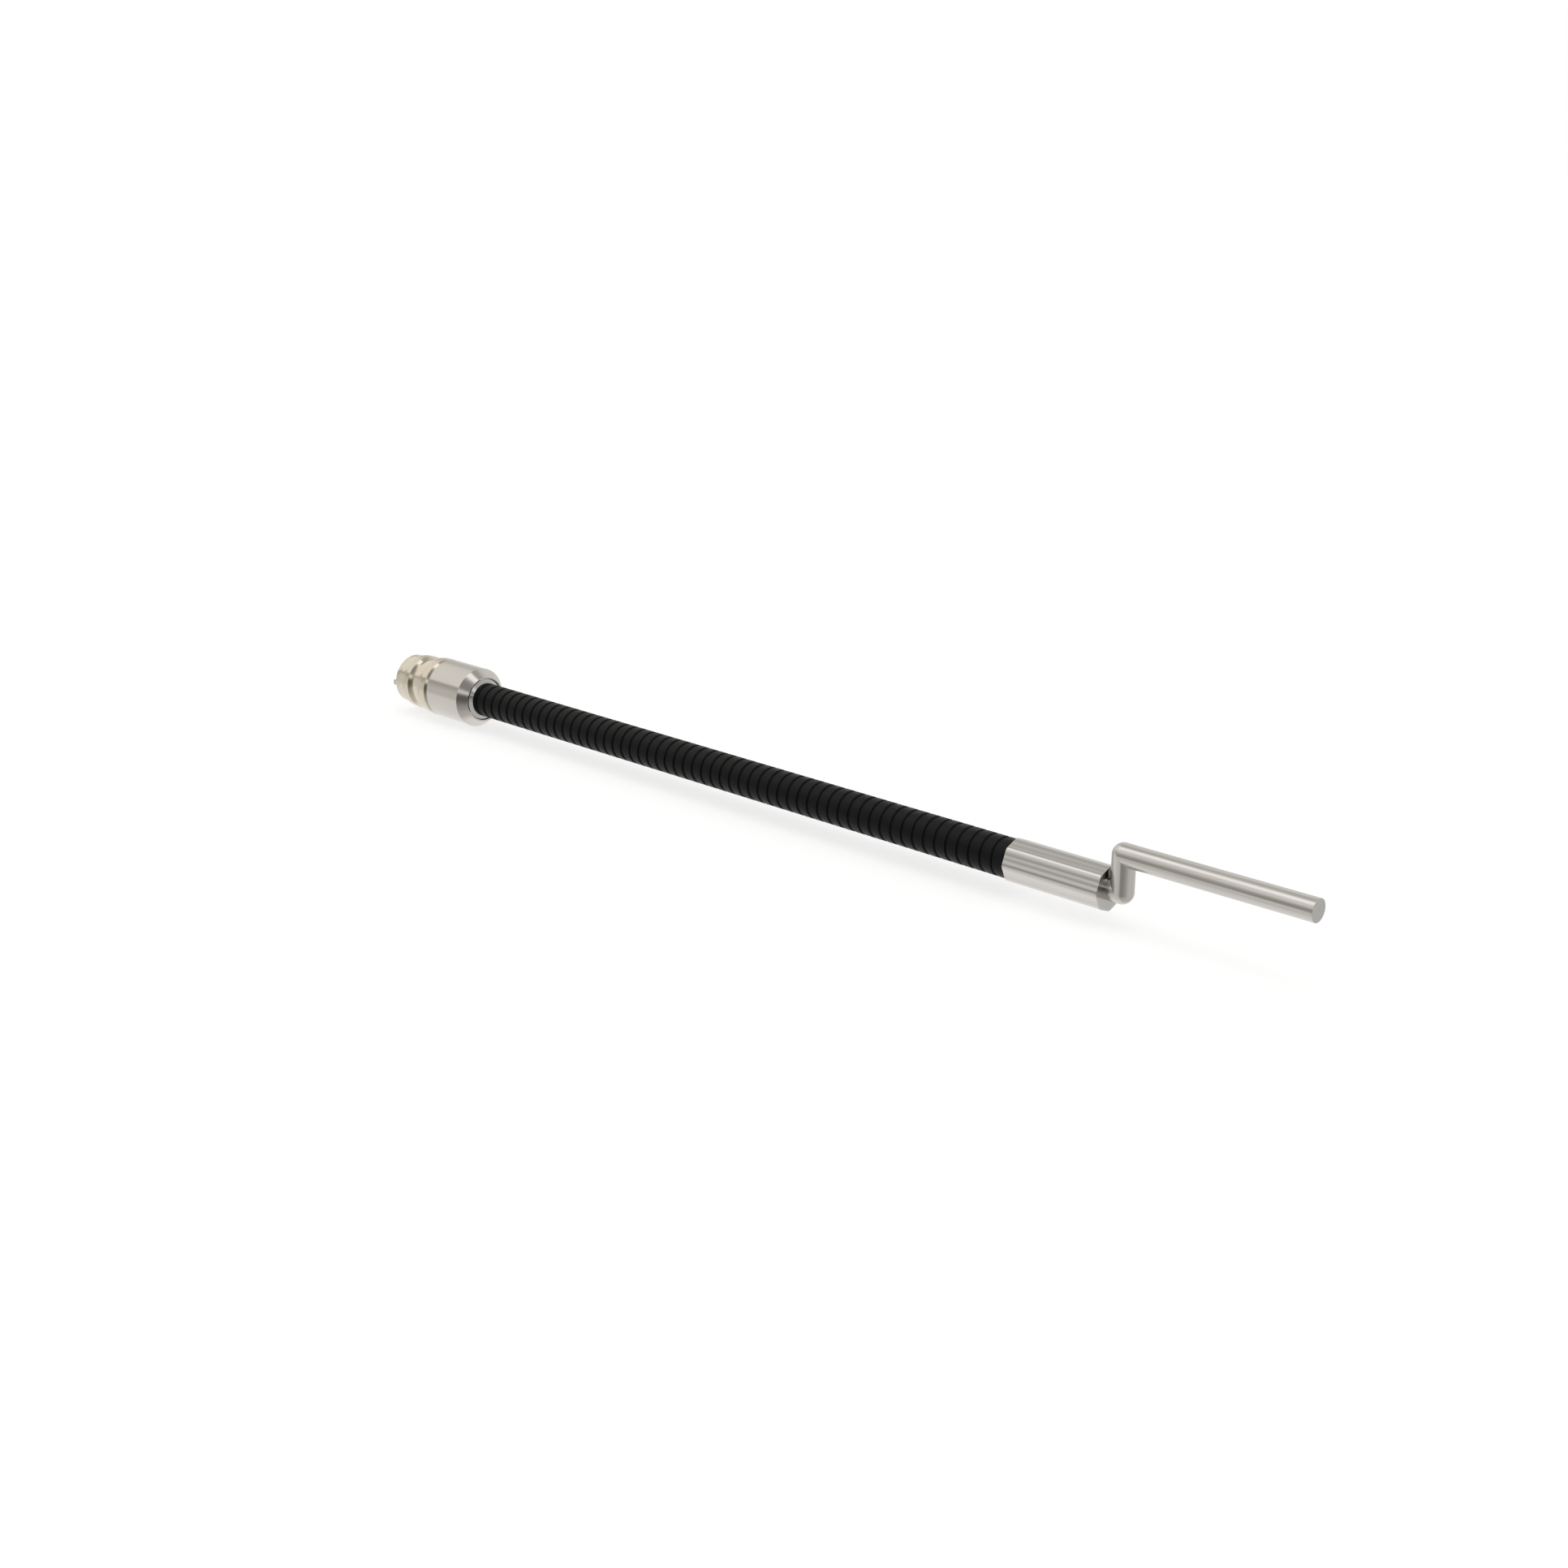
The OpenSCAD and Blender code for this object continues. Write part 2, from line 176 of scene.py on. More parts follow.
def rounded(corners, steps=4):
    """A closed outline of (x, r, fillet) corners as (x, r, normal x, normal r, edge share) points.

    The outline runs so that the solid lies on its left. Each straight stretch keeps its own
    normal, and a fillet turns from one to the next. A corner with fillet 0 stays sharp.
    """
    out = []
    count = len(corners)
    for i in range(count):
        before = Vector(corners[i - 1][:2])
        here = Vector(corners[i][:2])
        after = Vector(corners[(i + 1) % count][:2])
        into = (here - before).normalized()
        away = (after - here).normalized()
        n_in = Vector((into.y, -into.x))
        n_out = Vector((away.y, -away.x))
        turn = into.x * away.y - into.y * away.x
        half = acos(max(-1.0, min(1.0, into.dot(away)))) / 2
        fillet = corners[i][2]
        if fillet <= 0 or half < STRAIGHT:
            out.append((here.x, here.y, n_in, n_out, 0.0))
            continue
        reach = fillet * sin(half) / cos(half)
        limit = ROOM * min((here - before).length, (after - here).length)
        if reach > limit:
            fillet *= limit / reach
            reach = limit
        side = 1.0 if turn > 0 else -1.0
        start = here - into * reach
        centre = start - n_in * fillet * side
        for k in range(steps + 1):
            share = k / steps
            angle = 2 * half * share * side
            n = Vector((n_in.x * cos(angle) - n_in.y * sin(angle),
                        n_in.x * sin(angle) + n_in.y * cos(angle)))
            p = centre + n * fillet * side
            worn = 1.0 if side > 0 and 0 < k < steps and fillet < BROAD else 0.0
            out.append((p.x, p.y, n, n, worn))
    return out


def turned_faces(work, outline, slices, slot=0, height=0.0, closed=True):
    """Adds an outline of rounded() turned about the X axis at the given height."""
    stretch = list(zip(outline, outline[1:] + outline[:1])) if closed else list(zip(outline, outline[1:]))

    def at(point, normal, angle):
        spin = (cos(angle), sin(angle))
        return ((point[0], point[1] * spin[0], height + point[1] * spin[1]),
                (normal.x, normal.y * spin[0], normal.y * spin[1]), point[4])

    for a, b in stretch:
        for k in range(slices):
            t0 = 2 * pi * k / slices
            t1 = 2 * pi * (k + 1) / slices
            work.face([at(a, a[3], t0), at(b, b[2], t0), at(b, b[2], t1), at(a, a[3], t1)], slot)


def turned(name, corners, material, slices=128, steps=4):
    work = Patchwork()
    turned_faces(work, rounded(corners, steps), slices)
    return work.mesh(name, [material])


def ring(x0, x1, inner, outer, soft, inner_soft=0.0):
    """Corners of a plain ring, with its outer edges rounded by soft."""
    return [(x0, inner, inner_soft), (x0, outer, soft), (x1, outer, soft), (x1, inner, inner_soft)][::-1]


# ---------------------------------------------------------------- materials


class Graph:
    """A node tree written from left to right with few words."""

    def __init__(self, tree):
        self.tree = tree
        tree.nodes.clear()

    def node(self, kind, **settings):
        made = self.tree.nodes.new(kind)
        for key, value in settings.items():
            setattr(made, key, value)
        return made

    def link(self, output, target):
        self.tree.links.new(output, target)

    def math(self, operation, *values, clamp=False):
        made = self.node("ShaderNodeMath", operation=operation, use_clamp=clamp)
        self.feed(made.inputs, values)
        return made.outputs[0]

    def feed(self, sockets, values):
        for socket, value in zip(sockets, values):
            if isinstance(value, bpy.types.NodeSocket):
                self.link(value, socket)
            else:
                socket.default_value = value

    def spread(self, value, low, high, to_low=0.0, to_high=1.0):
        made = self.node("ShaderNodeMapRange", interpolation_type="SMOOTHSTEP")
        self.feed(made.inputs, [value, low, high, to_low, to_high])
        return made.outputs[0]

    def mix(self, share, first, second, blend="MIX"):
        made = self.node("ShaderNodeMix", data_type="RGBA", blend_type=blend)
        self.feed([made.inputs["Factor"], made.inputs["A"], made.inputs["B"]], [share, first, second])
        return made.outputs["Result"]

    def noise(self, scale, detail=3.0, roughness=0.5):
        """Noise in the object's own space. scale is the number of cells per metre along X, Y and Z."""
        where = self.node("ShaderNodeTexCoord")
        stretch = self.node("ShaderNodeMapping")
        stretch.inputs["Scale"].default_value = scale
        self.link(where.outputs["Object"], stretch.inputs["Vector"])
        made = self.node("ShaderNodeTexNoise")
        made.inputs["Scale"].default_value = 1.0
        made.inputs["Detail"].default_value = detail
        made.inputs["Roughness"].default_value = roughness
        self.link(stretch.outputs[0], made.inputs["Vector"])
        return made.outputs["Fac"]

    def edge(self):
        return self.node("ShaderNodeAttribute", attribute_name="edge").outputs["Fac"]


def rgb(r, g, b):
    return (r, g, b, 1.0)


def tint(colour, share):
    return tuple(c * share for c in colour[:3]) + (1.0,)


def surface(name):
    material = bpy.data.materials.new(name)
    material.use_nodes = True
    graph = Graph(material.node_tree)
    shader = graph.node("ShaderNodeBsdfPrincipled")
    out = graph.node("ShaderNodeOutputMaterial")
    graph.link(shader.outputs[0], out.inputs["Surface"])
    return material, graph, shader


def metal(name, colour, rough, grain, streak, bump, cloud=0.05, wear=0.25):
    """Bare metal with a fine grain.

    grain is the grain's cells per metre along each axis, streak how much the grain lightens and
    darkens the colour, bump its height in metres, cloud the soft tarnish and wear the bright
    rubbed edges.
    """
    material, g, shader = surface(name)
    lines = g.noise(grain, 4.0, 0.6)
    smears = g.noise((90.0, 260.0, 260.0), 3.0, 0.55)
    light = g.mix(g.spread(lines, 0.3, 0.7), tint(colour, 1 - streak), tint(colour, 1 + streak))
    clouded = g.mix(g.spread(smears, 0.35, 0.75, 0.0, cloud), light, tint(colour, 0.55))
    worn = g.mix(g.math("MULTIPLY", g.edge(), wear), clouded, tint(colour, 1.25))
    g.link(worn, shader.inputs["Base Color"])
    shader.inputs["Metallic"].default_value = 1.0
    rough_lines = g.spread(lines, 0.25, 0.75, rough * 0.85, rough * 1.15)
    rough_all = g.math("ADD", rough_lines, g.spread(smears, 0.4, 0.8, 0.0, rough * 0.3))
    g.link(rough_all, shader.inputs["Roughness"])
    relief = g.node("ShaderNodeBump")
    relief.inputs["Strength"].default_value = 1.0
    relief.inputs["Distance"].default_value = bump
    g.link(lines, relief.inputs["Height"])
    g.link(relief.outputs[0], shader.inputs["Normal"])
    return material


def moulded(name, colour, rough, bump=4e-6, wear=0.3, shine=0.5):
    """Rubber or plastic with a fine skin grain, paler where its edges are rubbed."""
    material, g, shader = surface(name)
    skin = g.noise((5200.0, 5200.0, 5200.0), 5.0, 0.6)
    dust = g.noise((240.0, 420.0, 420.0), 4.0, 0.6)
    body = g.mix(g.spread(skin, 0.3, 0.7), tint(colour, 0.8), tint(colour, 1.2))
    dusty = g.mix(g.spread(dust, 0.4, 0.8, 0.0, 0.25), body, tint(colour, 1.8))
    g.link(g.mix(g.math("MULTIPLY", g.edge(), wear), dusty, tint(colour, 2.2)), shader.inputs["Base Color"])
    g.link(g.spread(dust, 0.2, 0.8, rough * 0.85, rough * 1.2), shader.inputs["Roughness"])
    shader.inputs["Specular IOR Level"].default_value = shine
    relief = g.node("ShaderNodeBump")
    relief.inputs["Strength"].default_value = 1.0
    relief.inputs["Distance"].default_value = bump
    g.link(skin, relief.inputs["Height"])
    g.link(relief.outputs[0], shader.inputs["Normal"])
    return material


# Grain directions, as cells per metre along X, Y and Z.
LATHE = (9000.0, 220.0, 220.0)
PLATED = (5000.0, 60.0, 60.0)
DRAWN_X = (45.0, 3400.0, 3400.0)
ROLLED_X = (8.0, 1100.0, 1100.0)
DRAWN_Z = (3400.0, 3400.0, 45.0)
FACED = (300.0, 2600.0, 2600.0)

MATERIALS = {
    "warm_nickel": metal("warm_nickel", rgb(0.70, 0.635, 0.53), 0.09, PLATED, 0.015, 6e-8),
    "polished_steel": metal("polished_steel", rgb(0.62, 0.585, 0.55), 0.10, PLATED, 0.012, 5e-8),
    # The hub's nickel is darker and browner than the rings' as painted shade: it shows only as the floors of
    # the grooves between the rings, where shade falls.
    "nickel_hub": metal("nickel_hub", rgb(0.42, 0.37, 0.28), 0.34, LATHE, 0.06, 2e-6),
    "lug_steel": metal("lug_steel", rgb(0.55, 0.55, 0.55), 0.25, FACED, 0.04, 1e-6),
    "bronze": metal("bronze", rgb(0.50, 0.33, 0.15), 0.30, LATHE, 0.06, 1e-6),
    "ferrule_steel": metal("ferrule_steel", rgb(0.60, 0.58, 0.56), 0.14, LATHE, 0.02, 5e-7),
    "spring_steel": metal("spring_steel", rgb(0.30, 0.31, 0.33), 0.28, LATHE, 0.05, 1e-6),
    "liner_steel": metal("liner_steel", rgb(0.45, 0.45, 0.45), 0.35, LATHE, 0.08, 3e-6),
    "core_steel": metal("core_steel", rgb(0.45, 0.45, 0.47), 0.32, (2500.0, 2500.0, 2500.0), 0.1, 4e-6),
    "pin_steel": metal("pin_steel", rgb(0.62, 0.61, 0.60), 0.12, LATHE, 0.02, 4e-7),
    "brushed_sleeve": metal("brushed_sleeve", rgb(0.63, 0.607, 0.58), 0.17, ROLLED_X, 0.10, 1e-6),
    "bush_steel": metal("bush_steel", rgb(0.57, 0.555, 0.535), 0.05, FACED, 0.01, 1e-7),
    "brushed_rod": metal("brushed_rod", rgb(0.60, 0.575, 0.545), 0.20, DRAWN_X, 0.07, 3e-6),
    "brushed_leg": metal("brushed_leg", rgb(0.60, 0.575, 0.545), 0.22, DRAWN_Z, 0.05, 2e-6),
    "rod_neck": metal("rod_neck", rgb(0.60, 0.58, 0.56), 0.05, FACED, 0.01, 1e-7),
    "rod_face": metal("rod_face", rgb(0.52, 0.505, 0.485), 0.3, FACED, 0.03, 1e-6),
    "black_sheath": moulded("black_sheath", rgb(0.0065, 0.0065, 0.007), 0.42, wear=0.1, shine=0.12),
    "washer_plastic": moulded("washer_plastic", rgb(0.70, 0.66, 0.56), 0.5),
    "lining_plastic": moulded("lining_plastic", rgb(0.75, 0.75, 0.72), 0.4),
}

# ---------------------------------------------------------------- coupling

nose_x0, nose_x1 = span("nose_ring")
lock_x0, lock_x1 = span("lock_ring")
shell_x0, shell_x1 = span("coupling_shell")
hub_x0, hub_x1 = span("nose_hub")
pin_bush_x0, pin_bush_x1 = span("nose_bush")
pin_x0, pin_x1 = span("plunger_pin")
swivel_x0, shoulder_x = span("swivel_bush")
cable_x0, sleeve_x0 = span("ribbed_sheath")
sleeve_x1 = span("crimp_sleeve")[1]

CHAMFER_LEN = 0.53 * MM
CHAMFER_H = 0.44 * MM
SHELL_BEVEL = 0.38 * MM
CONE_LEN = 1.8 * MM
COLLAR_CONE_LEN = 0.35 * MM
MOUTH_R = COLLAR_R + 0.03 * MM
CONE_END_R = COLLAR_R + 0.3 * MM
SWIVEL_R = radius("swivel_bush")
PIN_R = 1.25 * MM
CORE_R = radius("core_cable")


def place(piece, body, slot, *nodes):
    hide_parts(*nodes)
    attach(piece, body)


def ring_rear(x1, band_r):
    """Corners of a ring's rear: its bore, its chamfer and the rim of its band."""
    return [(x1, HUB_R, 0.0), (x1, band_r - CHAMFER_H, 0.04 * MM), (x1 - CHAMFER_LEN, band_r, 0.08 * MM)]


def coupling():
    """The two flared rings, the hub they sit on, the pin's bush, the shell and the lugs."""
    easy = 4.0 * MM
    nose_flare_x0 = nose_x0 + 1.0 * MM
    nose_flare_x1 = nose_x0 + 3.0 * MM
    lock_flare_x1 = lock_x0 + 3.3 * MM
    nose = turned("nose_ring_skin",
                  ring_rear(nose_x1, NOSE_BAND_R)
                  + [(nose_flare_x1, NOSE_BAND_R, easy), (nose_flare_x0, NOSE_R, easy),
                     (nose_x0, NOSE_R, 0.18 * MM), (nose_x0, HUB_R, 0.0)],
                  MATERIALS["warm_nickel"], steps=6)
    place(nose, "coupling", "warm_nickel", "nose_ring")
    lock = turned("lock_ring_skin",
                  ring_rear(lock_x1, LOCK_R)
                  + [(lock_flare_x1, LOCK_R, easy), (lock_x0, LOCK_FRONT_R, 0.04 * MM),
                     (lock_x0, HUB_R, 0.0)],
                  MATERIALS["warm_nickel"], steps=6)
    place(lock, "coupling", "warm_nickel", "lock_ring")
    hub = turned("nose_hub_skin", ring(hub_x0, hub_x1, PIN_BUSH_R, HUB_R, 0.05 * MM),
                 MATERIALS["nickel_hub"])
    place(hub, "coupling", "nickel_hub", "nose_hub")
    bush = turned("nose_bush_skin", ring(pin_bush_x0, pin_bush_x1, PIN_R + 0.05 * MM, PIN_BUSH_R, 0.08 * MM),
                  MATERIALS["bronze"])
    place(bush, "coupling", "bronze", "nose_bush")
    shell = turned("coupling_shell_skin", shell_outline(), MATERIALS["polished_steel"], 160)
    place(shell, "coupling", "polished_steel", "coupling_shell")
    place(locating_lugs(), "coupling", "lug_steel", "locating_lugs")


def shell_outline():
    """The shell's outline: a round body, a rear cone, a flat lip and the mouth inside it."""
    return [(shell_x0, HUB_R, 0.0), (swivel_x0, HUB_R, 0.0), (swivel_x0, SWIVEL_R, 0.0),
            (shoulder_x, SWIVEL_R, 0.0), (shoulder_x, MOUTH_R, 0.1 * MM),
            (shell_x1, MOUTH_R, 0.06 * MM), (shell_x1, CONE_END_R, 0.08 * MM),
            (shell_x1 - CONE_LEN, SHELL_R, 0.12 * MM), (shell_x0 + SHELL_BEVEL, SHELL_R, 0.08 * MM),
            (shell_x0, SHELL_R - SHELL_BEVEL, 0.04 * MM)]


def locating_lugs():
    """Two keys in the nose ring's wall, with rounded tips in front of its face."""
    lug_x0, lug_x1 = span("locating_lugs")
    half_width = 0.5 * MM
    outer = NOSE_R - 0.02 * MM
    soft = 0.14 * MM
    side = sqrt(outer ** 2 - half_width ** 2)
    section = rounded([(HUB_R, -half_width, soft), (side, -half_width, soft), (outer, 0.0, 0.0),
                       (side, half_width, soft), (HUB_R, half_width, soft)], 3)
    work = Patchwork()
    for turn in (1, -1):

        def around(x, inset, tilt):
            return [((x, turn * (y - n.x * inset), turn * (z - n.y * inset)),
                     (-sin(tilt), turn * n.x * cos(tilt), turn * n.y * cos(tilt)), 0.5)
                    for y, z, n, _, _ in section]

        stations = [around(lug_x1, 0.0, 0.0)]
        steps = 4
        for k in range(steps + 1):
            tilt = pi / 2 * k / steps
            stations.append(around(lug_x0 + soft * (1 - sin(tilt)), soft * (1 - cos(tilt)), tilt))
        for first, second in zip(stations, stations[1:]):
            work.strip(first, second)
        work.cap(stations[-1][::-1], (-1.0, 0.0, 0.0))
        work.cap(stations[0], (1.0, 0.0, 0.0))
    return work.mesh("locating_lugs_skin", [MATERIALS["lug_steel"]])


coupling()

# ---------------------------------------------------------------- cable and sleeve


def sheath():
    """The moulded sheath: flat-topped rings with rounded shoulders over a plain tube."""
    bore = 2.45 * MM
    root = SHEATH_R - 0.24 * MM
    pitch = (sleeve_x0 - cable_x0) / (RIBS + PART_RIB)
    ribs_x0 = cable_x0 + pitch * PART_RIB
    half_groove = pitch * 0.12
    slope = half_groove / 2
    corners = [(cable_x0, bore, 0.0), (sleeve_x0, bore, 0.0), (sleeve_x0, root, 0.0)]
    for i in reversed(range(RIBS)):
        left = ribs_x0 + i * pitch
        corners += [(left + pitch - half_groove + slope / 2, root, 0.03 * MM),
                    (left + pitch - half_groove - slope / 2, SHEATH_R, 0.10 * MM),
                    (left + half_groove + slope / 2, SHEATH_R, 0.10 * MM),
                    (left + half_groove - slope / 2, root, 0.03 * MM)]
    corners += [(ribs_x0 - half_groove + slope / 2, root, 0.03 * MM),
                (ribs_x0 - half_groove - slope / 2, SHEATH_R, 0.10 * MM), (cable_x0, SHEATH_R, 0.0)]
    piece = turned("ribbed_sheath_skin", corners, MATERIALS["black_sheath"], 96, 3)
    place(piece, "cable", "black_sheath", "ribbed_sheath")


def ferrule():
    """The end ferrule, whose bright collar shows in the mouth of the shell."""
    ferrule_x0, ferrule_x1 = span("end_ferrule")
    bore = radius("inner_lining")
    liner = radius("wound_liner")
    wall = 0.45 * MM
    spigot = liner + wall
    journal = spigot + wall
    groove = journal - 0.35 * MM
    clip_x0, clip_x1 = span("retaining_clip")
    washer_x1 = span("collar_washer")[1]
    stop_x = span("wound_liner")[0]
    corners = [(ferrule_x0, bore, 0.0), (stop_x, bore, 0.0), (stop_x, liner, 0.0), (ferrule_x1, liner, 0.0),
               (ferrule_x1, spigot, 0.1 * MM), (cable_x0, spigot, 0.0),
               (cable_x0, SHEATH_R + 0.03 * MM, 0.06 * MM),
               (cable_x0 - COLLAR_CONE_LEN, COLLAR_R, 0.08 * MM),
               (washer_x1, COLLAR_R, 0.05 * MM), (washer_x1, journal, 0.0), (clip_x1, journal, 0.0),
               (clip_x1, groove, 0.0), (clip_x0, groove, 0.0), (clip_x0, journal, 0.0),
               (ferrule_x0, journal, 0.1 * MM)]
    piece = turned("end_ferrule_skin", corners, MATERIALS["ferrule_steel"])
    place(piece, "cable", "ferrule_steel", "end_ferrule")


def sleeve():
    """The octagonal sleeve with rounded corners and faced ends, bored through."""
    soft = 0.06 * MM
    corner_soft = 1.20 * MM
    parts_of_flat = 24
    turned_corners = rounded([(SLEEVE_CORNER_R * cos(2 * pi * k / SLEEVE_SIDES),
                               SLEEVE_CORNER_R * sin(2 * pi * k / SLEEVE_SIDES), corner_soft)
                              for k in range(SLEEVE_SIDES)], 6)
    section = []
    for a, b in zip(turned_corners, turned_corners[1:] + turned_corners[:1]):
        flat = (Vector(a[:2]) - Vector(b[:2])).length
        parts = parts_of_flat if flat > MM else 1
        pitch, shift = ROLLED_WAVES[len(section) % len(ROLLED_WAVES)]
        for k in range(parts):
            share = k / parts
            swing = sin(2 * pi * ((share - 0.5) * flat - shift) / pitch) * (1 - (2 * share - 1) ** 4)
            tilt = ROLLED_TILT * swing if parts > 1 else 0.0
            n = Vector((a[3].x * cos(tilt) - a[3].y * sin(tilt), a[3].x * sin(tilt) + a[3].y * cos(tilt)))
            section.append((a[0] + (b[0] - a[0]) * share, a[1] + (b[1] - a[1]) * share,
                            n, n, a[4] if k == 0 else 0.0))

    def outside(x, inset, tilt):
        worn = 1.0 if inset > 0 else 0.0
        return [((x, y - n.x * inset, z - n.y * inset), (sin(tilt), n.x * cos(tilt), n.y * cos(tilt)),
                 max(worn, edge)) for y, z, n, _, edge in section]

    def circle(x, r, facing, outward=-1.0):
        """A ring that faces along the axis or, with facing 0, outward (1) or inward (-1)."""
        out = []
        for y, z, _, _, _ in section:
            c, s = Vector((y, z)).normalized()
            normal = (facing, 0.0, 0.0) if facing else (0.0, outward * c, outward * s)
            out.append(((x, r * c, r * s), normal, 0.0))
        return out

    def inside(x, facing):
        return circle(x, SLEEVE_BORE_R, facing)

    def faced(ring_corners, facing):
        return [(point, (facing, 0.0, 0.0), 0.0) for point, _, _ in ring_corners]

    steps = 3
    outer = []
    for end, x in ((1, sleeve_x1), (-1, sleeve_x0)):
        arc = [outside(x - end * soft * (1 - sin(pi / 2 * k / steps)), soft * (1 - cos(pi / 2 * k / steps)),
                       end * pi / 2 * k / steps) for k in range(steps + 1)]
        outer += arc[::-1] if end > 0 else arc
    work = Patchwork()
    for first, second in zip(outer, outer[1:]):
        work.strip(first, second)
    work.strip(faced(outer[-1], -1.0), inside(sleeve_x0, -1.0), 1)
    work.strip(inside(sleeve_x0, 0.0), inside(sleeve_x1, 0.0))
    work.strip(inside(sleeve_x1, 1.0), faced(outer[0], 1.0), 1)
    piece = work.mesh("crimp_sleeve_skin", [MATERIALS["brushed_sleeve"], MATERIALS["bush_steel"]])
    place(piece, "cable", "brushed_sleeve", "crimp_sleeve")
    bush_x0, bush_x1 = span("end_bush")
    hole = ROD_R + 0.005 * MM
    work = Patchwork()
    work.strip(circle(bush_x1, SLEEVE_BORE_R, 0.0, 1.0), circle(bush_x0, SLEEVE_BORE_R, 0.0, 1.0))
    work.strip(circle(bush_x0, SLEEVE_BORE_R, -1.0), circle(bush_x0, hole, -1.0))
    work.strip(circle(bush_x0, hole, 0.0), circle(bush_x1, hole, 0.0))
    work.strip(circle(bush_x1, hole, 1.0), circle(bush_x1, SLEEVE_BORE_R, 1.0))
    bush = work.mesh("end_bush_skin", [MATERIALS["bush_steel"]])
    place(bush, "cable", "bush_steel", "end_bush")


sheath()
ferrule()
sleeve()

# ---------------------------------------------------------------- crank and pin


def crank():
    """One bent rod: a stub in the sleeve, an upright leg and a handle.

    Its outer corners are quarters of a ball and its inner corners are mitres. Every ring has the
    same spread of angles, so that the stub, the leg and the handle meet point to point.
    """
    along, upright, face, neck = range(4)
    slices = 96
    rod_x0 = span("cranked_rod")[0]
    clip_x0, clip_x1 = span("seat_clip")
    shoulder = span("spring_seat")[1] + 0.1 * MM
    shank = CORE_R + 0.7 * MM
    groove = shank - 0.18 * MM
    socket_x = rod_x0 + 4.0 * MM
    swell_end = LEG_X + 2.2 * MM
    spread = [2 * pi * k / slices for k in range(slices)]

    def level(x, r, z, tilt=0.0, worn=0.0):
        return [((x, r * cos(a), z + r * sin(a)), (sin(tilt), cos(tilt) * cos(a), cos(tilt) * sin(a)), worn)
                for a in spread]

    def mitre(z, upper, normal_along_x):
        """The ring where the leg meets the handle (upper) or the stub."""
        out = []
        for a in spread:
            s, c = sin(a), cos(a)
            straight = s > 0 if upper else s < 0
            x = LEG_X - (0.0 if straight else BEND_R * s)
            normal = (0.0, c, s) if normal_along_x else (-s, c, 0.0)
            out.append(((x, BEND_R * c, z + BEND_R * s), normal, 0.0))
        return out

    def ball(z, upper, turn):
        """A ring of the rounded outer corner. turn goes from the rod's side, 0, to the leg's, 90 degrees."""
        out = []
        for a in spread:
            s, c = sin(a), cos(a)
            if (s > 0) == upper and s != 0:
                n = (-s * sin(turn), c, s * cos(turn))
            else:
                n = (-s, c, s)
            out.append(((LEG_X + BEND_R * n[0], BEND_R * c, z + BEND_R * n[2]), n, 0.3))
        return out

    def leg_ring(z, upper):
        """The leg's end: flat where the ball starts, and slanted along the mitre."""
        out = []
        for a in spread:
            s, c = sin(a), cos(a)
            rise = (min(0.0, s) if upper else max(0.0, s)) * BEND_R
            out.append(((LEG_X - BEND_R * s, BEND_R * c, z + rise), (-s, c, 0.0), 0.0))
        return out

    work = Patchwork()
    soft = 0.05 * MM
    steps = 4
    end = [level(HANDLE_END - soft * (1 - sin(pi / 2 * k / steps)),
                 ROD_R - soft * (1 - cos(pi / 2 * k / steps)), HANDLE_Z, pi / 2 * k / steps,
                 1.0 if k else 0.0) for k in reversed(range(steps + 1))]
    work.cap(end[0], (1.0, 0.0, 0.0), face)
    handle = end + [level(swell_end, ROD_R, HANDLE_Z), mitre(HANDLE_Z, True, True)]
    for first, second in zip(handle, handle[1:]):
        work.strip(first, second)
    corner_steps = 12
    for z, upper in ((HANDLE_Z, True), (0.0, False)):
        turns = [pi / 2 * k / corner_steps for k in range(corner_steps + 1)]
        if not upper:
            turns = turns[::-1]
        for start, stop in zip(turns, turns[1:]):
            slot = upright if start + stop > pi / 2 else along
            work.strip(ball(z, upper, start), ball(z, upper, stop), slot)
    work.strip(leg_ring(HANDLE_Z, True), leg_ring(0.0, False), upright)
    work.strip(mitre(0.0, False, True), level(LEG_X - BEND_R, BEND_R, 0.0))
    stub = rounded([(LEG_X - BEND_R, BEND_R, 0.0), (sleeve_x1, ROD_R, 0.0), (shoulder, ROD_R, 0.1 * MM),
                    (shoulder, shank, 0.0), (clip_x1, shank, 0.0), (clip_x1, groove, 0.0),
                    (clip_x0, groove, 0.0), (clip_x0, shank, 0.0), (rod_x0, shank, 0.05 * MM),
                    (rod_x0, CORE_R, 0.0), (socket_x, CORE_R, 0.0), (socket_x, 0.0, 0.0)])
    turned_faces(work, stub[:2], slices, neck, closed=False)
    turned_faces(work, stub[1:], slices, closed=False)
    piece = work.mesh("cranked_rod_skin", [MATERIALS["brushed_rod"], MATERIALS["brushed_leg"],
                                           MATERIALS["rod_face"], MATERIALS["rod_neck"]])
    place(piece, "crank", "brushed_rod", "cranked_rod")


def plunger_pin():
    """The pin with a rounded tip, its head and the tail that the core is swaged into."""
    head = radius("plunger_pin")
    head_x0 = span("core_cable")[0]
    head_x1 = head_x0 + 1.2 * MM
    tail = CORE_R + 0.6 * MM
    outline = rounded([(head_x0, 0.0, 0.0), (head_x0, CORE_R, 0.0), (pin_x1, CORE_R, 0.0),
                       (pin_x1, tail, 0.1 * MM), (head_x1, tail, 0.0), (head_x1, head, 0.1 * MM),
                       (head_x0, head, 0.1 * MM), (head_x0, PIN_R, 0.0), (pin_x0, PIN_R, 0.35 * MM),
                       (pin_x0, 0.0, 0.0)])
    work = Patchwork()
    turned_faces(work, outline, 64, closed=False)
    place(work.mesh("plunger_pin_skin", [MATERIALS["pin_steel"]]), "crank", "pin_steel", "plunger_pin")


crank()
plunger_pin()

# ---------------------------------------------------------------- pieces kept from the frame

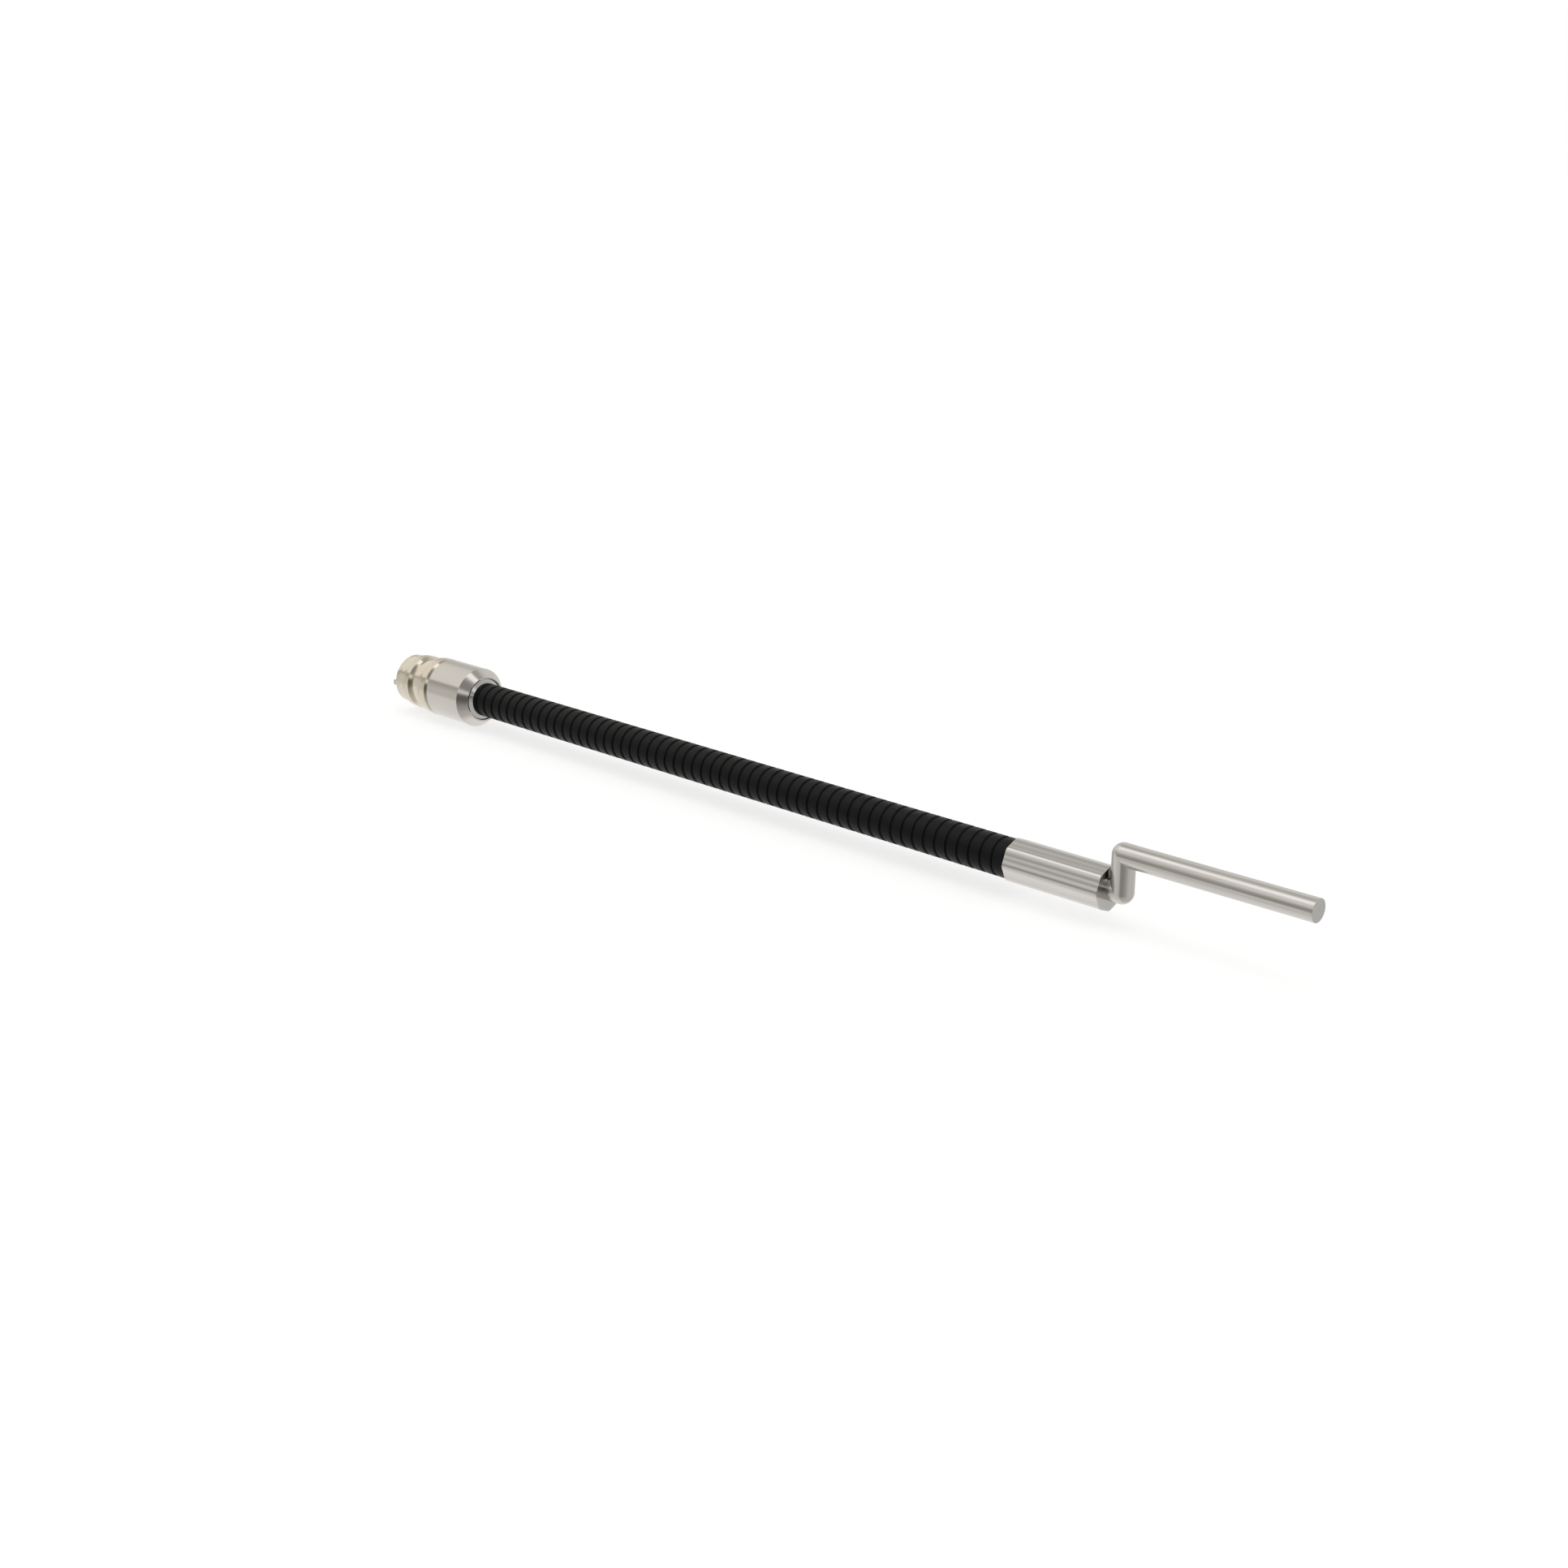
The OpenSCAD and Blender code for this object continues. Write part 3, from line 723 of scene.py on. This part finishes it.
KEPT = {
    "swivel_bush": "bronze",
    "collar_washer": "washer_plastic",
    "thrust_washer": "washer_plastic",
    "retaining_clip": "spring_steel",
    "wound_liner": "liner_steel",
    "inner_lining": "lining_plastic",
    "core_cable": "core_steel",
    "rear_ferrule": "ferrule_steel",
    "return_spring": "spring_steel",
    "spring_seat": "bronze",
    "seat_clip": "spring_steel",
}
for node_name, material_name in KEPT.items():
    for material_slot in frame["nodes"][node_name].material_slots:
        material_slot.material = MATERIALS[material_name]

# ---------------------------------------------------------------- camera


def camera():
    """The photo's view, solved from the rod's circles and the cable's outlines."""
    data = bpy.data.cameras.new("camera")
    data.lens = 50.0
    data.sensor_width = 36.0
    data.clip_start = 0.01
    view = bpy.data.objects.new("camera", data)
    view.location = (0.33674, -0.24884, 0.11539)
    view.rotation_euler = Vector((-0.6540, 0.6874, -0.3160)).to_track_quat("-Z", "Y").to_euler()
    bpy.context.scene.collection.objects.link(view)
    bpy.context.scene.camera = view


camera()

# ---------------------------------------------------------------- floor and light


def floor():
    """A white floor. What the camera sees of it is lifted to white paper, and no metal mirrors it."""
    half = 2.0
    z = -SHELL_R
    corners = [(-half, -half, z), (half, -half, z), (half, half, z), (-half, half, z)]
    data = bpy.data.meshes.new("floor")
    data.from_pydata(corners, [], [(0, 1, 2, 3)])
    material = bpy.data.materials.new("floor_white")
    material.use_nodes = True
    g = Graph(material.node_tree)
    paper = g.node("ShaderNodeBsdfDiffuse")
    grain = g.noise((900.0, 900.0, 900.0), 4.0, 0.6)
    g.link(g.mix(grain, rgb(0.36, 0.36, 0.36), rgb(0.38, 0.38, 0.38)), paper.inputs["Color"])
    glow = g.node("ShaderNodeEmission")
    path = g.node("ShaderNodeLightPath")
    g.link(g.math("MULTIPLY", path.outputs["Is Camera Ray"], 0.72), glow.inputs["Strength"])
    both = g.node("ShaderNodeAddShader")
    g.link(paper.outputs[0], both.inputs[0])
    g.link(glow.outputs[0], both.inputs[1])
    out = g.node("ShaderNodeOutputMaterial")
    g.link(both.outputs[0], out.inputs["Surface"])
    data.materials.append(material)
    piece = bpy.data.objects.new("floor", data)
    piece.visible_glossy = False
    bpy.context.scene.collection.objects.link(piece)


# The studio's light runs in bands along the cable's axis. Each list gives a band's angle about
# that axis, from the camera's side upwards in degrees, how bright it is and how warm.
FAR_LEFT = [(-180, 0.45, 1.4), (-165, 0.50, 1.2), (-138, 0.66, 0.8), (-118, 0.90, 0.4), (-50, 0.88, 0.5),
            (-40, 0.73, 1.0), (18, 0.71, 1.0), (30, 0.58, 1.2), (42, 0.54, 1.2), (52, 0.78, 1.0),
            (62, 0.96, 1.0), (157, 0.93, 1.0), (168, 0.76, 1.3), (180, 0.45, 1.5)]
LEFT = [(-180, 0.80, 0.5), (-150, 0.97, 0.2), (-95, 0.96, 0.2), (-47, 0.90, 0.3), (-20, 0.88, 0.5),
        (-10, 0.70, 1.0), (10, 0.69, 1.0), (19, 0.61, 1.2), (26, 0.52, 1.2), (33, 0.48, 1.2),
        (37, 0.68, 1.0), (42, 0.97, 1.0), (90, 0.96, 1.0), (118, 0.90, 1.2), (140, 0.67, 1.3),
        (152, 0.64, 1.2), (180, 0.80, 0.8)]
MIDDLE = [(-180, 0.80, 0.3), (-165, 0.72, 0.3), (-145, 0.92, 0.1), (-95, 1.02, 0.1), (-62, 0.93, 0.2),
          (-44, 0.80, 0.4), (-20, 0.78, 0.5), (-8, 0.42, 0.8), (6, 0.35, 0.8), (22, 0.69, 0.7),
          (36, 0.89, 0.6), (57, 1.03, 0.4), (70, 1.48, 0.3), (80, 1.48, 0.3), (92, 0.68, 0.5),
          (108, 0.54, 0.8), (122, 0.74, 0.6), (146, 0.88, 0.5), (180, 0.80, 0.4)]
RIGHT = [(-180, 0.78, 0.3), (-150, 0.72, 0.3), (-97, 0.67, 0.3), (-70, 0.64, 0.4), (-52, 0.59, 0.4),
         (-34, 0.43, 0.5), (-25, 0.37, 0.5), (-15, 0.24, 0.6), (-4, 0.15, 0.8), (10, 0.155, 0.8),
         (15, 0.30, 0.6), (20, 0.66, 0.4), (25, 0.94, 0.3), (30, 0.74, 0.4), (35, 0.44, 0.5),
         (41, 0.33, 0.6), (55, 0.33, 0.6), (66, 0.39, 0.6), (75, 0.58, 0.4), (81, 1.10, 0.1),
         (86, 1.35, 0.0), (97, 1.35, 0.0), (102, 0.55, 0.3), (112, 0.48, 0.5), (125, 0.54, 0.5),
         (145, 0.64, 0.5), (180, 0.78, 0.3)]


def world():
    """The studio: its bands of light change from the left to the right of the object."""
    sky = bpy.data.worlds.new("studio")
    sky.use_nodes = True
    bpy.context.scene.world = sky
    g = Graph(sky.node_tree)
    direction = g.node("ShaderNodeTexCoord").outputs["Generated"]
    axis = g.node("ShaderNodeSeparateXYZ")
    g.link(direction, axis.inputs[0])
    x, y, z = axis.outputs
    angle = g.math("ARCTAN2", z, g.math("MULTIPLY", y, -1.0))
    turn = g.math("MULTIPLY_ADD", angle, 0.5 / pi, 0.5)

    def bands(stops):
        made = g.node("ShaderNodeValToRGB")
        g.link(turn, made.inputs["Fac"])
        ramp = made.color_ramp
        while len(ramp.elements) < len(stops):
            ramp.elements.new(0.5)
        for element, (degrees_up, level, warmth) in zip(ramp.elements, stops):
            element.position = degrees_up / 360 + 0.5
            element.color = rgb(level, level * (1 - 0.012 * warmth), level * (1 - 0.06 * warmth))
        return made.outputs["Color"]

    shade = bands(FAR_LEFT)
    for low, high, stops in ((-0.85, -0.80, LEFT), (-0.70, -0.60, MIDDLE), (0.0, 0.16, RIGHT)):
        shade = g.mix(g.spread(x, low, high), shade, bands(stops))
    lit = g.node("ShaderNodeBackground")
    g.link(shade, lit.inputs["Color"])
    white = g.node("ShaderNodeBackground")
    white.inputs["Color"].default_value = rgb(1.0, 1.0, 1.0)
    path = g.node("ShaderNodeLightPath")
    either = g.node("ShaderNodeMixShader")
    g.link(path.outputs["Is Camera Ray"], either.inputs[0])
    g.link(lit.outputs[0], either.inputs[1])
    g.link(white.outputs[0], either.inputs[2])
    out = g.node("ShaderNodeOutputWorld")
    g.link(either.outputs[0], out.inputs["Surface"])


def softbox():
    """A broad lamp overhead, which gives the soft shadow. The metal doesn't mirror it."""
    data = bpy.data.lights.new("overhead_light", "AREA")
    data.shape = "RECTANGLE"
    data.size = 0.5
    data.size_y = 0.35
    data.energy = 0.35
    lamp = bpy.data.objects.new("overhead_light", data)
    lamp.location = (0.1, 0.08, 0.6)
    lamp.visible_glossy = False
    bpy.context.scene.collection.objects.link(lamp)


floor()
world()
softbox()
bpy.context.scene.view_settings.view_transform = "Standard"
